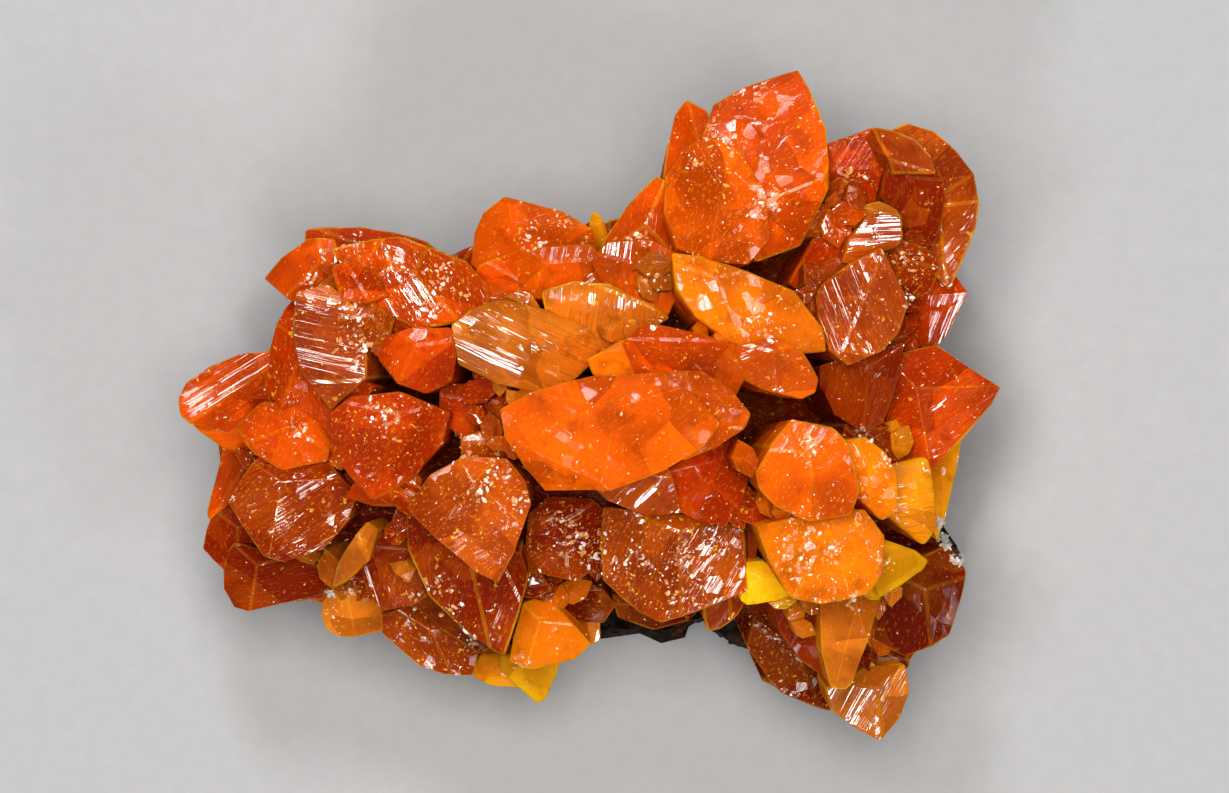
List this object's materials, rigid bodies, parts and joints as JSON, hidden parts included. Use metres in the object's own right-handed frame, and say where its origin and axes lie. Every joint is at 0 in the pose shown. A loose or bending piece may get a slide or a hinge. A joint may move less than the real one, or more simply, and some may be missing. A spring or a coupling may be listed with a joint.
{
  "type": "orpiment crystal cluster on matrix",
  "caption": "Cluster of intergrown orange-red orpiment crystals with striated faces, on a slab of dark matrix.",
  "frame": {"origin": "bottom centre of the specimen's bounding box, on the plane it lies on", "axes": "+X to the right of the pictured view, +Y to its top, +Z from the broken back of the matrix out through the crystals"},
  "size_m": [0.05, 0.0408, 0.0265],
  "materials": {
    "orpiment": "clear",
    "matrix_rock": "rough"
  },
  "bodies": {
    "root": {"orpiment_crystals": "orpiment", "matrix": "matrix_rock"}
  },
  "joints": []
}
